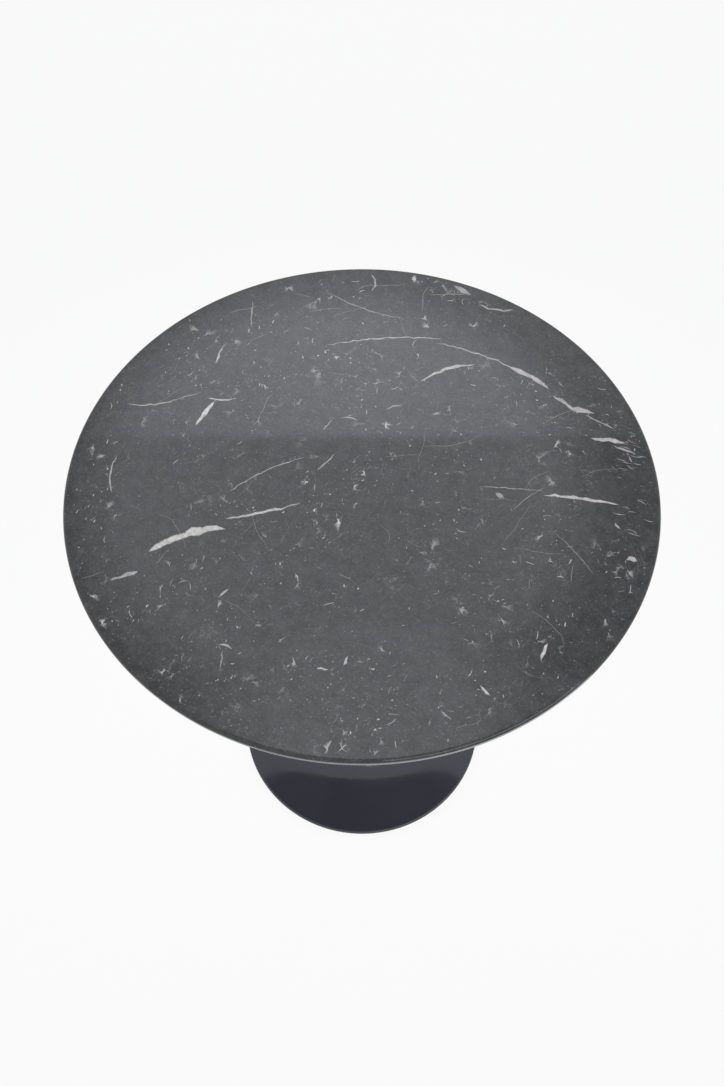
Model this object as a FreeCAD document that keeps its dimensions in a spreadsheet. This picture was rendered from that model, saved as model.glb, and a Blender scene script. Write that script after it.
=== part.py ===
import FreeCAD, Part
import math
import os
import re

import Sketcher

# Round pedestal side table, in millimetres: a round stone top on a cast trumpet-shaped
# pedestal, held together by one tie rod down the column, standing on four levelling glides.
# The origin is on the floor under the centre of the table, and +Z is up.

# Driving dimensions. Diameters and lengths are full sizes; a gap is between two faces.
SIZES = {
    # Stone top: flat underside, long bevel up to a thin rounded edge.
    "table_height": 520,
    "top_diameter": 508,
    "top_thickness": 20,
    "top_edge_height": 6.2,
    "top_edge_round": 3.4,
    "top_bevel_width": 45,
    # Board glued under the stone, which takes the screws.
    "board_diameter": 300,
    "board_thickness": 10,
    "board_bevel": 5,
    # Steel plate screwed to the board, with the socket that the tie rod screws into.
    "plate_diameter": 110,
    "plate_thickness": 5,
    "screw_circle": 84,
    "screw_count": 6,
    "screw_diameter": 6,
    "screw_length": 12,
    "screw_head_diameter": 11.4,
    "screw_head_height": 2.8,
    "screw_key_size": 4,
    "screw_key_depth": 1.8,
    "insert_diameter": 9,
    "insert_length": 9,
    "socket_diameter": 24,
    "socket_length": 30,
    "socket_flange_diameter": 32,
    "socket_flange_thickness": 3,
    "socket_thread_depth": 22,
    "pin_circle": 64,
    "pin_count": 2,
    "pin_diameter": 5,
    "pin_length": 14,
    "pin_chamfer": 0.6,
    "gasket_thickness": 1,
    "gasket_bore": 30,
    # Pedestal: a low dish that rises into the column and opens out again under the plate.
    "base_diameter": 284,
    "floor_gap": 3.5,
    "base_edge_height": 3.5,
    "base_edge_round": 2.2,
    "base_heel_round": 0.8,
    "dish_handle_radius": 22,
    "dish_handle_height": 18.3,
    "column_foot_height": 46.4,
    "waist_diameter": 38,
    "waist_height": 290,
    "column_head_height": 430,
    "flare_handle_radius": 28,
    "flare_handle_height": 466,
    "flare_diameter": 140,
    "flare_edge_height": 3.5,
    "flare_edge_round": 1,
    "flare_gap": 0.5,
    # Hollow inside the pedestal, and the ring inside it that the ballast pulls up against.
    "bore_diameter": 26,
    "hollow_diameter": 190,
    "hollow_edge_height": 9.4,
    "hollow_handle_radius": 34.8,
    "hollow_handle_height": 24.8,
    "bore_foot_height": 53.8,
    "bore_start_height": 234,
    "seat_height": 29,
    "seat_inner_diameter": 72,
    "seat_outer_diameter": 92,
    "seat_root_outer_height": 40,
    "seat_root_inner_height": 55,
    # Tie rod, and the ballast and nut that it holds at its foot.
    "rod_diameter": 12,
    "rod_foot_height": 7,
    "rod_engagement": 20,
    "rod_chamfer": 1,
    "ballast_height": 4.5,
    "ballast_diameter": 184,
    "ballast_edge_thickness": 4,
    "ballast_knee_diameter": 132,
    "ballast_knee_height": 17,
    "ballast_head_diameter": 96,
    "ballast_web": 7,
    "nut_well_diameter": 44,
    "washer_diameter": 36,
    "washer_thickness": 2.5,
    "spring_washer_diameter": 21,
    "spring_washer_thickness": 2.5,
    "spring_washer_slit": 1.5,
    "nut_width": 19,
    "nut_thickness": 10,
    "cap_thickness": 1.5,
    "cap_skirt_thickness": 1.5,
    "cap_skirt_height": 6,
    # Levelling glides: a threaded stem with a hexagon, its foot held in a plastic pad.
    "glide_circle": 208,
    "glide_count": 4,
    "glide_insert_length": 7,
    "glide_thread_diameter": 6,
    "glide_thread_top": 10.2,
    "pad_diameter": 20,
    "pad_thickness": 1.9,
    "pad_edge_chamfer": 0.4,
    "hexagon_width": 14,
    "hexagon_base": 2,
    "hexagon_top": 3.3,
    "neck_diameter": 8,
    "neck_base": 1.35,
    "foot_diameter": 10,
    "foot_base": 0.8,
    # Radial gaps: close, between a hole and what sits in it, and loose, where a part only passes.
    "fit_gap": 0.05,
    "loose_gap": 0.5,
}

GLIDE_ANGLES = {"rear_right": 45, "rear_left": 135, "front_left": 225, "front_right": 315}

# Levels of the stack, worked out downwards from the table top.
BOARD_TOP = "(table_height - top_thickness)"
PLATE_TOP = f"({BOARD_TOP} - board_thickness)"
PLATE_BASE = f"({PLATE_TOP} - plate_thickness)"
RECESS_FLOOR = f"({PLATE_BASE} - gasket_thickness)"
FLARE_TOP = f"({PLATE_TOP} - flare_gap)"
SOCKET_BASE = f"({PLATE_TOP} - socket_length)"
PIN_TOP = f"({PLATE_TOP} - pin_chamfer)"
PIN_BASE = f"({PIN_TOP} - pin_length)"
WELL_TOP = "(seat_height - ballast_web)"
WASHER_BASE = f"({WELL_TOP} - washer_thickness)"
SPRING_WASHER_BASE = f"({WASHER_BASE} - spring_washer_thickness)"
NUT_BASE = f"({SPRING_WASHER_BASE} - nut_thickness)"

doc = FreeCAD.newDocument("pedestal_table")
sheet = doc.addObject("Spreadsheet::Sheet", "sizes")
for row, (alias, size) in enumerate(SIZES.items(), start=1):
    sheet.set(f"A{row}", alias)
    sheet.set(f"B{row}", str(size))
    sheet.setAlias(f"B{row}", alias)
doc.recompute()


# ---- Sizes as text: each name in it is a cell of the sheet ----

def bound(text):
    """Return the expression with every sheet name pointing at its cell."""
    return re.sub(r"[a-z][a-z_]+", lambda word: f"sizes.{word[0]}" if word[0] in SIZES else word[0], text)


def value(text):
    """Work out the expression's present value."""
    return float(sheet.evalExpression(bound(text)))


def vector(place):
    return FreeCAD.Vector(value(place[0]), value(place[1]), 0)


# ---- Sketches ----

def origin_feature(body, role):
    return next(item for item in body.Origin.OriginFeatures if item.Role == role)


def new_sketch(body, name, plane="XY_Plane", **offset):
    """Add a sketch on one of the body's origin planes, moved by x, y or z along the sketch's axes."""
    sketch = body.newObject("Sketcher::SketchObject", name)
    sketch.AttachmentSupport = [(origin_feature(body, plane), "")]
    sketch.MapMode = "FlatFace"
    for axis, size in offset.items():
        sketch.setExpression(f"AttachmentOffset.Base.{axis}", bound(size))
    return sketch


def pin_point(sketch, geometry, point, place):
    """Bind a point of the sketch to the two sizes of its place."""
    for kind, size, axis in zip(("DistanceX", "DistanceY"), place, (-2, -1)):
        if value(size) == 0:
            sketch.addConstraint(Sketcher.Constraint("PointOnObject", geometry, point, axis))
            continue
        number = sketch.addConstraint(Sketcher.Constraint(kind, -1, 1, geometry, point, value(size)))
        sketch.setExpression(f"Constraints[{number}]", bound(size))


def outline(sketch, corners, curves=None):
    """Draw a closed profile; an edge named in curves is a cubic curve with two handles."""
    curves = curves or {}
    points = [vector(corner) for corner in corners]
    edges = []
    for index, start in enumerate(points):
        end = points[(index + 1) % len(points)]
        edge = Part.LineSegment(start, end)
        if index in curves:
            edge = Part.BSplineCurve()
            poles = [start, *(vector(handle) for handle in curves[index]), end]
            edge.buildFromPolesMultsKnots(poles, (4, 4), (0, 1), False, 3)
        edges.append(sketch.addGeometry(edge))
    for edge, following, corner in zip(edges, edges[1:] + edges[:1], corners):
        sketch.addConstraint(Sketcher.Constraint("Coincident", edge, 2, following, 1))
        pin_point(sketch, edge, 1, corner)
    for index, handles in curves.items():
        first_pole = sketch.GeometryCount
        sketch.exposeInternalGeometry(edges[index])
        for number, handle in enumerate(handles, start=1):
            pin_point(sketch, first_pole + number, 3, handle)


def circle(sketch, diameter, place=("0", "0")):
    """Draw a circle whose size and centre are bound to the sheet."""
    radius = f"({diameter}) / 2"
    number = sketch.addGeometry(Part.Circle(vector(place), FreeCAD.Vector(0, 0, 1), value(radius)))
    pin_point(sketch, number, 3, place)
    constraint = sketch.addConstraint(Sketcher.Constraint("Radius", number, value(radius)))
    sketch.setExpression(f"Constraints[{constraint}]", bound(radius))


# ---- Features ----

def new_body(label):
    body = doc.addObject("PartDesign::Body", label)
    body.Label = label
    return body


def lathe(body, name, corners, curves=None, kind="Revolution", about="0", plane="XZ_Plane"):
    """Turn a profile of radius and height about an upright line, about away from the middle."""
    sketch = new_sketch(body, f"{name}_profile", plane, x=about)
    outline(sketch, corners, curves)
    feature = body.newObject(f"PartDesign::{kind}", name)
    feature.Profile = sketch
    feature.ReferenceAxis = (sketch, ["V_Axis"])
    feature.Angle = 360
    return feature


def ring(body, name, outer, inner, base, thickness, place=("0", "0")):
    """Pad a flat ring upwards from its base."""
    sketch = new_sketch(body, f"{name}_profile", z=base)
    circle(sketch, outer, place)
    circle(sketch, inner, place)
    feature = body.newObject("PartDesign::Pad", name)
    feature.Profile = sketch
    feature.setExpression("Length", bound(thickness))
    return feature


def hole(body, name, diameter, base, depth, place):
    """Cut a round hole upwards from its base."""
    sketch = new_sketch(body, f"{name}_profile", z=base)
    circle(sketch, diameter, place)
    feature = body.newObject("PartDesign::Pocket", name)
    feature.Profile = sketch
    feature.Reversed = True
    feature.setExpression("Length", bound(depth))
    return feature


def hexagon(body, name, kind, width, base, thickness, about="0"):
    """Pad or cut an upright hexagonal prism of the given width across its flats."""
    sketch = new_sketch(body, f"{name}_profile", z=base)
    outline(sketch, [
        (f"{about} + ({width}) / sqrt(3) * cos({angle} deg)", f"({width}) / sqrt(3) * sin({angle} deg)")
        for angle in range(0, 360, 60)
    ])
    feature = body.newObject(f"PartDesign::{kind}", name)
    feature.Profile = sketch
    feature.Reversed = kind == "Pocket"
    feature.setExpression("Length", bound(thickness))
    return feature


def repeat_around(body, name, features, count):
    """Repeat the features evenly around the table's axis."""
    pattern = body.newObject("PartDesign::PolarPattern", name)
    pattern.Originals = features
    pattern.Axis = (origin_feature(body, "Z_Axis"), [""])
    pattern.Angle = 360
    pattern.setExpression("Occurrences", bound(count))
    body.Tip = pattern


def round_edges(body, name, radius, places):
    """Fillet the body's circular edges at the given diameters and heights."""
    doc.recompute()
    base = body.Tip
    wanted = [(value(diameter) / 2, value(height)) for diameter, height in places]
    names = []
    for number, edge in enumerate(base.Shape.Edges, start=1):
        if not isinstance(edge.Curve, Part.Circle):
            continue
        found = (edge.Curve.Radius, edge.Curve.Center.z)
        if any(math.dist(found, place) < 0.01 for place in wanted):
            names.append(f"Edge{number}")
    assert len(names) == len(places), f"{name}: {len(names)} of {len(places)} edges found"
    fillet = body.newObject("PartDesign::Fillet", name)
    fillet.Base = (base, names)
    fillet.setExpression("Radius", bound(radius))


# ---- The top and what is fixed to it ----

def marble_top():
    """Stone disc: flat underside, then a long bevel up to a thin rounded edge."""
    body = new_body("marble_top")
    edge_base = "table_height - top_edge_height"
    lathe(body, "slab", [
        ("0", BOARD_TOP),
        ("top_diameter / 2 - top_bevel_width", BOARD_TOP),
        ("top_diameter / 2", edge_base),
        ("top_diameter / 2", "table_height"),
        ("0", "table_height"),
    ])
    round_edges(body, "edge", "top_edge_round",
                [("top_diameter", "table_height"), ("top_diameter", edge_base)])
    return body


def support_board():
    """Board glued under the stone, bevelled below, with blind holes for the inserts."""
    body = new_body("support_board")
    lathe(body, "board", [
        ("0", PLATE_TOP),
        ("board_diameter / 2 - board_bevel", PLATE_TOP),
        ("board_diameter / 2", f"{PLATE_TOP} + board_bevel"),
        ("board_diameter / 2", BOARD_TOP),
        ("0", BOARD_TOP),
    ])
    insert_hole = hole(body, "insert_hole", "insert_diameter + 2 * fit_gap", PLATE_TOP,
                       "insert_length", ("screw_circle / 2", "0"))
    repeat_around(body, "insert_holes", [insert_hole], "screw_count")
    return body


def threaded_inserts():
    """Threaded bushes set in the board, one for each screw."""
    body = new_body("threaded_inserts")
    insert = ring(body, "insert", "insert_diameter", "screw_diameter + 2 * fit_gap", PLATE_TOP,
                  "insert_length", ("screw_circle / 2", "0"))
    repeat_around(body, "inserts", [insert], "screw_count")
    return body


def mounting_plate():
    """Round plate with countersunk screw holes, two pin holes and a stepped middle hole."""
    body = new_body("mounting_plate")
    middle = "socket_diameter / 2 + fit_gap"
    flange = "socket_flange_diameter / 2 + fit_gap"
    step = f"{PLATE_TOP} - socket_flange_thickness"
    lathe(body, "plate", [
        (middle, PLATE_BASE),
        ("plate_diameter / 2", PLATE_BASE),
        ("plate_diameter / 2", PLATE_TOP),
        (flange, PLATE_TOP),
        (flange, step),
        (middle, step),
    ])
    screw_hole = lathe(body, "screw_hole", [
        ("0", PLATE_BASE),
        ("screw_head_diameter / 2 + fit_gap", PLATE_BASE),
        ("screw_diameter / 2 + fit_gap", f"{PLATE_BASE} + screw_head_height"),
        ("screw_diameter / 2 + fit_gap", PLATE_TOP),
        ("0", PLATE_TOP),
    ], kind="Groove", about="screw_circle / 2")
    repeat_around(body, "screw_holes", [screw_hole], "screw_count")
    pin_hole = hole(body, "pin_hole", "pin_diameter + 2 * fit_gap", PLATE_BASE,
                    "plate_thickness", ("0", "pin_circle / 2"))
    repeat_around(body, "pin_holes", [pin_hole], "pin_count")
    return body


def plate_screws():
    """Countersunk screws that hold the plate to the board, with hexagonal key holes."""
    body = new_body("plate_screws")
    screw = lathe(body, "screw", [
        ("0", PLATE_BASE),
        ("screw_head_diameter / 2", PLATE_BASE),
        ("screw_diameter / 2", f"{PLATE_BASE} + screw_head_height"),
        ("screw_diameter / 2", f"{PLATE_BASE} + screw_length"),
        ("0", f"{PLATE_BASE} + screw_length"),
    ], about="screw_circle / 2")
    key_hole = hexagon(body, "key_hole", "Pocket", "screw_key_size", PLATE_BASE,
                       "screw_key_depth", about="screw_circle / 2")
    repeat_around(body, "screws", [screw, key_hole], "screw_count")
    return body


def rod_socket():
    """Flanged bush hung in the plate; the tie rod screws into it from below."""
    body = new_body("rod_socket")
    thread_end = f"{SOCKET_BASE} + socket_thread_depth"
    step = f"{PLATE_TOP} - socket_flange_thickness"
    lathe(body, "socket", [
        ("rod_diameter / 2 + fit_gap", SOCKET_BASE),
        ("socket_diameter / 2", SOCKET_BASE),
        ("socket_diameter / 2", step),
        ("socket_flange_diameter / 2", step),
        ("socket_flange_diameter / 2", PLATE_TOP),
        ("0", PLATE_TOP),
        ("0", thread_end),
        ("rod_diameter / 2 + fit_gap", thread_end),
    ])
    return body


def flange_gasket():
    """Thin ring between the plate and the pedestal, pierced for the pins."""
    body = new_body("flange_gasket")
    ring(body, "gasket", "plate_diameter", "gasket_bore", RECESS_FLOOR, "gasket_thickness")
    pin_hole = hole(body, "pin_hole", "pin_diameter + 2 * fit_gap", RECESS_FLOOR,
                    "gasket_thickness", ("0", "pin_circle / 2"))
    repeat_around(body, "pin_holes", [pin_hole], "pin_count")
    return body


def locating_pins():
    """Pins that keep the plate from turning on the pedestal."""
    body = new_body("locating_pins")
    radius = "pin_diameter / 2"
    pin = lathe(body, "pin", [
        ("0", PIN_BASE),
        (f"{radius} - pin_chamfer", PIN_BASE),
        (radius, f"{PIN_BASE} + pin_chamfer"),
        (radius, f"{PIN_TOP} - pin_chamfer"),
        (f"{radius} - pin_chamfer", PIN_TOP),
        ("0", PIN_TOP),
    ], about="pin_circle / 2", plane="YZ_Plane")
    repeat_around(body, "pins", [pin], "pin_count")
    return body


# ---- The pedestal and what is inside it ----

def pedestal():
    """Hollow casting: two cubic curves, tangent at the waist, make its outside."""
    body = new_body("pedestal")
    base_edge = "floor_gap + base_edge_height"
    flare_edge = f"{FLARE_TOP} - flare_edge_height"
    lathe(body, "outside", [
        ("0", "floor_gap"),
        ("base_diameter / 2", "floor_gap"),
        ("base_diameter / 2", base_edge),
        ("waist_diameter / 2", "waist_height"),
        ("flare_diameter / 2", flare_edge),
        ("flare_diameter / 2", FLARE_TOP),
        ("0", FLARE_TOP),
    ], curves={
        2: [("dish_handle_radius", "dish_handle_height"), ("waist_diameter / 2", "column_foot_height")],
        3: [("waist_diameter / 2", "column_head_height"), ("flare_handle_radius", "flare_handle_height")],
    })
    round_edges(body, "base_edge", "base_edge_round", [("base_diameter", base_edge)])
    round_edges(body, "base_heel", "base_heel_round", [("base_diameter", "floor_gap")])
    round_edges(body, "flare_edges", "flare_edge_round",
                [("flare_diameter", flare_edge), ("flare_diameter", FLARE_TOP)])
    lathe(body, "hollow", [
        ("0", "floor_gap"),
        ("hollow_diameter / 2", "floor_gap"),
        ("hollow_diameter / 2", "hollow_edge_height"),
        ("bore_diameter / 2", "bore_start_height"),
        ("bore_diameter / 2", RECESS_FLOOR),
        ("plate_diameter / 2 + loose_gap", RECESS_FLOOR),
        ("plate_diameter / 2 + loose_gap", FLARE_TOP),
        ("0", FLARE_TOP),
    ], curves={
        2: [("hollow_handle_radius", "hollow_handle_height"), ("bore_diameter / 2", "bore_foot_height")],
    }, kind="Groove")
    lathe(body, "ballast_seat", [
        ("seat_inner_diameter / 2", "seat_height"),
        ("seat_outer_diameter / 2", "seat_height"),
        ("seat_outer_diameter / 2", "seat_root_outer_height"),
        ("seat_inner_diameter / 2", "seat_root_inner_height"),
    ])
    glide_hole = hole(body, "glide_hole", "insert_diameter + 2 * fit_gap", "floor_gap",
                      "glide_insert_length + fit_gap",
                      ("glide_circle / 2 * cos(45 deg)", "glide_circle / 2 * sin(45 deg)"))
    repeat_around(body, "glide_holes", [glide_hole], "glide_count")
    pin_hole = hole(body, "pin_hole", "pin_diameter + 2 * fit_gap", f"{PIN_BASE} - fit_gap",
                    f"{RECESS_FLOOR} - {PIN_BASE} + fit_gap", ("0", "pin_circle / 2"))
    repeat_around(body, "pin_holes", [pin_hole], "pin_count")
    return body


def tie_rod():
    """Threaded rod that pulls the top, the pedestal and the ballast together."""
    body = new_body("tie_rod")
    top = f"{SOCKET_BASE} + rod_engagement"
    radius = "rod_diameter / 2"
    lathe(body, "rod", [
        ("0", "rod_foot_height"),
        (f"{radius} - rod_chamfer", "rod_foot_height"),
        (radius, "rod_foot_height + rod_chamfer"),
        (radius, f"{top} - rod_chamfer"),
        (f"{radius} - rod_chamfer", top),
        ("0", top),
    ])
    return body


def ballast_weight():
    """Heavy casting nested in the dish, with a well below for the nut."""
    body = new_body("ballast_weight")
    lathe(body, "weight", [
        ("nut_well_diameter / 2", "ballast_height"),
        ("ballast_diameter / 2", "ballast_height"),
        ("ballast_diameter / 2", "ballast_height + ballast_edge_thickness"),
        ("ballast_knee_diameter / 2", "ballast_knee_height"),
        ("ballast_head_diameter / 2", "seat_height"),
        ("rod_diameter / 2 + loose_gap", "seat_height"),
        ("rod_diameter / 2 + loose_gap", WELL_TOP),
        ("nut_well_diameter / 2", WELL_TOP),
    ])
    return body


def rod_washer():
    body = new_body("rod_washer")
    ring(body, "washer", "washer_diameter", "rod_diameter + 2 * loose_gap", WASHER_BASE, "washer_thickness")
    return body


def spring_washer():
    """Split ring between the nut and the washer."""
    body = new_body("spring_washer")
    ring(body, "coil", "spring_washer_diameter", "rod_diameter + 2 * fit_gap", SPRING_WASHER_BASE,
         "spring_washer_thickness")
    sketch = new_sketch(body, "slit_profile", z=SPRING_WASHER_BASE)
    outline(sketch, [
        ("0", "0"),
        ("spring_washer_diameter", "0"),
        ("spring_washer_diameter", "spring_washer_slit"),
        ("0", "spring_washer_slit"),
    ])
    slit = body.newObject("PartDesign::Pocket", "slit")
    slit.Profile = sketch
    slit.Reversed = True
    slit.setExpression("Length", bound("spring_washer_thickness"))
    return body


def rod_nut():
    """Hexagonal nut with its corners turned off at both ends."""
    body = new_body("rod_nut")
    hexagon(body, "hexagon", "Pad", "nut_width", NUT_BASE, "nut_thickness")
    hole(body, "thread", "rod_diameter + 2 * fit_gap", NUT_BASE, "nut_thickness", ("0", "0"))
    nut_top = f"{NUT_BASE} + nut_thickness"
    corner = "nut_width / sqrt(3) + fit_gap"
    drop = f"({corner} - nut_width / 2) * tan(30 deg)"
    for name, end, turned in (("lower_corners", NUT_BASE, f"{NUT_BASE} + {drop}"),
                              ("upper_corners", nut_top, f"{nut_top} - {drop}")):
        lathe(body, name, [("nut_width / 2", end), (corner, end), (corner, turned)], kind="Groove")
    return body


def nut_cap():
    """Push-in cap that closes the nut's well from below."""
    body = new_body("nut_cap")
    outer = "nut_well_diameter / 2 - fit_gap"
    inner = f"{outer} - cap_skirt_thickness"
    lathe(body, "cap", [
        ("0", "ballast_height"),
        (outer, "ballast_height"),
        (outer, "ballast_height + cap_thickness + cap_skirt_height"),
        (inner, "ballast_height + cap_thickness + cap_skirt_height"),
        (inner, "ballast_height + cap_thickness"),
        ("0", "ballast_height + cap_thickness"),
    ])
    return body


# ---- The glides ----

def glide_inserts():
    """Threaded bushes pressed into the pedestal's underside, one for each glide."""
    body = new_body("glide_inserts")
    insert = ring(body, "insert", "insert_diameter", "glide_thread_diameter + 2 * fit_gap", "floor_gap",
                  "glide_insert_length", ("glide_circle / 2 * cos(45 deg)", "glide_circle / 2 * sin(45 deg)"))
    repeat_around(body, "inserts", [insert], "glide_count")
    return body


def place_glide(body, angle):
    """Stand a glide part, built about its own axis, at its place under the dish."""
    body.setExpression("Placement.Base.x", bound(f"glide_circle / 2 * cos({angle} deg)"))
    body.setExpression("Placement.Base.y", bound(f"glide_circle / 2 * sin({angle} deg)"))


def glide_stem(corner, angle):
    """Threaded stem with a hexagon to turn it by, and a foot that snaps into the pad."""
    body = new_body(f"glide_stem_{corner}")
    lathe(body, "stem", [
        ("0", "foot_base"),
        ("foot_diameter / 2", "foot_base"),
        ("foot_diameter / 2", "neck_base - fit_gap"),
        ("neck_diameter / 2", "neck_base - fit_gap"),
        ("neck_diameter / 2", "hexagon_top - fit_gap"),
        ("glide_thread_diameter / 2", "hexagon_top - fit_gap"),
        ("glide_thread_diameter / 2", "glide_thread_top"),
        ("0", "glide_thread_top"),
    ])
    hexagon(body, "hexagon", "Pad", "hexagon_width", "hexagon_base", "hexagon_top - hexagon_base")
    place_glide(body, angle)
    return body


def glide_pad(corner, angle):
    """Round plastic foot with a stepped socket that holds the stem's foot."""
    body = new_body(f"glide_pad_{corner}")
    socket = "foot_diameter / 2 + fit_gap"
    mouth = "neck_diameter / 2 + fit_gap"
    lathe(body, "pad", [
        ("0", "0"),
        ("pad_diameter / 2 - pad_edge_chamfer", "0"),
        ("pad_diameter / 2", "pad_edge_chamfer"),
        ("pad_diameter / 2", "pad_thickness"),
        (mouth, "pad_thickness"),
        (mouth, "neck_base"),
        (socket, "neck_base"),
        (socket, "foot_base - fit_gap"),
        ("0", "foot_base - fit_gap"),
    ])
    place_glide(body, angle)
    return body


PARTS = [
    marble_top, support_board, threaded_inserts, mounting_plate, plate_screws, rod_socket,
    flange_gasket, locating_pins, pedestal, tie_rod, ballast_weight, rod_washer, spring_washer,
    rod_nut, nut_cap, glide_inserts,
]

bodies = [make() for make in PARTS]
for corner, angle in GLIDE_ANGLES.items():
    bodies.append(glide_stem(corner, angle))
    bodies.append(glide_pad(corner, angle))
doc.recompute()

for item in doc.Objects:
    assert not {"Invalid", "Error"} & set(item.State), f"{item.Name} is {item.State}"
for body in bodies:
    assert not body.Shape.isNull() and body.Shape.isValid(), f"{body.Label} has no valid shape"

os.makedirs("parts", exist_ok=True)
for body in bodies:
    body.Shape.exportStep(f"parts/{body.Label}.step")
    print(f"{body.Label}: {len(body.Shape.Solids)} solids, {body.Shape.Volume / 1000:.2f} cm3")
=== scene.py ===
import math
import random

import bpy
import numpy as np
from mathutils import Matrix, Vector, noise
from mathutils.geometry import delaunay_2d_cdt


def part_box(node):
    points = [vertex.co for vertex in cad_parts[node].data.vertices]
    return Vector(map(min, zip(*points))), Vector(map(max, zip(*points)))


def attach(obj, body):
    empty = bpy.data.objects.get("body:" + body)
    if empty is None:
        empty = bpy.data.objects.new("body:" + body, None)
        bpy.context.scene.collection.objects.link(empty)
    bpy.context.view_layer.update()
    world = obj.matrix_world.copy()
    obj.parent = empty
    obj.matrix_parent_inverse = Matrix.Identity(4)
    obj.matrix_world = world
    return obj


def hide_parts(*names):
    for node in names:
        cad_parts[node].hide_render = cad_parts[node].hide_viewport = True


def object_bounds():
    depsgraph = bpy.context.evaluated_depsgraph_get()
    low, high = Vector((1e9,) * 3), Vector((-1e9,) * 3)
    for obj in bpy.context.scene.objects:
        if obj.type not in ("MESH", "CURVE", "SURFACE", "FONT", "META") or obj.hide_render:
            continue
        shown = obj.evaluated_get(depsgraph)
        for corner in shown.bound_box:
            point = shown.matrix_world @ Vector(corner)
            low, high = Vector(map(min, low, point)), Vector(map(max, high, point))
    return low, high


# The looks of a round pedestal table: a black marble top on a gloss lacquered pedestal.
# Everything is in metres. The origin is on the floor under the middle of the table, +Z is up
# and the front of the table is towards -Y.

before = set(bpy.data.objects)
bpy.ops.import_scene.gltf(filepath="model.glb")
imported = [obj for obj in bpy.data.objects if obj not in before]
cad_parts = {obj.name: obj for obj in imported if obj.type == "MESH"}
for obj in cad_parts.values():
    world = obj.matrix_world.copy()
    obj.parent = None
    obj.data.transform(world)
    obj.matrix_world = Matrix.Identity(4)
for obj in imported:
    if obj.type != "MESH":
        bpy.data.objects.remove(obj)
cad_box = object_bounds()

MM = 0.001
TURN = 2 * math.pi
SHARP_EDGE = math.radians(35)

# Stone top: sizes that its box doesn't give.
EDGE_HEIGHT = 6.2 * MM
EDGE_ROUND = 3.4 * MM
LOWER_EDGE_ROUND = EDGE_ROUND * 0.8
BEVEL_WIDTH = 45 * MM
BEVEL_ROUND = 1 * MM

# Glide stems, from the foot up to the tip of the thread.
FOOT_RADIUS = 5 * MM
FOOT_HEIGHT = 0.5 * MM
FOOT_CHAMFER = 0.1 * MM
NECK_RADIUS = 4 * MM
HEXAGON_HALF_WIDTH = 7 * MM
HEXAGON_TURNED_TO = HEXAGON_HALF_WIDTH * 0.97
HEXAGON_BASE = 2 * MM
HEXAGON_TOP = 3.3 * MM
THREAD_RUNOUT = 0.3 * MM
THREAD_PITCH = 1.0 * MM
THREAD_LEVELS_PER_TURN = 8
THREAD_RADIUS = 3 * MM
THREAD_DEPTH = 0.55 * MM
THREAD_TIP_DEPTH = THREAD_DEPTH * 1.6
THREAD_FLANK_SLOPE = 1.25
THREAD_CREST = 0.12

# Glide pads: radii of the ring in the sole are shares of the pad's radius.
SOLE_RING_INSIDE = 0.45
SOLE_RING_OUTSIDE = 0.6
SOLE_RING_DEPTH = 0.25 * MM
SOLE_RING_ROUND = 0.1 * MM
PAD_LOWER_ROUND = 0.5 * MM
PAD_UPPER_ROUND = 0.45 * MM
SOCKET_CLEARANCE = 0.05 * MM
SOCKET_FLOOR = 0.75 * MM
SOCKET_STEP = 1.35 * MM
SOCKET_MOUTH_WIDTH = 0.5 * MM
SOCKET_MOUTH_DEPTH = 0.2 * MM

# Nut cap: radii of its lip are shares of the cap's radius.
CAP_WALL = 1.5 * MM
CAP_DISH = 0.3 * MM
CAP_DISH_EDGE = 0.78
CAP_LIP = 0.82
CAP_LIP_ROUND = 0.25 * MM
CAP_SKIRT_ROUND = 0.3 * MM
CAP_OUTER_ROUND = 0.6 * MM
CAP_INNER_ROUND = 0.4 * MM
DIMPLE_HEIGHT = 0.5 * MM
DIMPLE_INSIDE = 1.6 * MM
DIMPLE_OUTSIDE = 2.2 * MM
DIMPLE_ROUND = 0.15 * MM

CORNERS = ("rear_right", "rear_left", "front_left", "front_right")


# ---- Meshes ----

def rounded(corners, steps=6):
    """Turn corners of (radius, height, rounding) into an outline whose corners are arcs."""
    outline = []
    for index, (radius, height, rounding) in enumerate(corners):
        corner = Vector((radius, height))
        if not rounding:
            outline.append(tuple(corner))
            continue
        before = (Vector(corners[index - 1][:2]) - corner).normalized()
        after = (Vector(corners[(index + 1) % len(corners)][:2]) - corner).normalized()
        half = before.angle(after) / 2
        centre = corner + (before + after).normalized() * rounding / math.sin(half)
        start = corner + before * rounding / math.tan(half) - centre
        end = corner + after * rounding / math.tan(half) - centre
        for step in range(steps + 1):
            outline.append(tuple(centre + start.slerp(end, step / steps).normalized() * rounding))
    return outline


def ring(radius, height, around, centre=(0, 0)):
    """One level of a turned surface; the radius is a number or a function of the angle."""
    if radius == 0:
        return [(centre[0], centre[1], height)]
    points = []
    for step in range(around):
        angle = TURN * step / around
        reach = radius(angle) if callable(radius) else radius
        points.append((centre[0] + reach * math.cos(angle), centre[1] + reach * math.sin(angle), height))
    return points


def skin(rings):
    """Join rings that run outwards and up from the lowest one; a ring of one point is a pole."""
    around = max(len(points) for points in rings)
    vertices = []
    rows = []
    for points in rings:
        rows.append([len(vertices) + step % len(points) for step in range(around)])
        vertices.extend(points)
    faces = []
    for lower, upper in zip(rows, rows[1:]):
        for step in range(around):
            ahead = (step + 1) % around
            face = (lower[step], lower[ahead], upper[ahead], upper[step])
            faces.append(tuple(dict.fromkeys(face)))
    return vertices, faces


def turned(outline, around, centre=(0, 0)):
    """Turn an outline of (radius, height) about an upright axis."""
    return skin([ring(radius, height, around, centre) for radius, height in outline])


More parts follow.
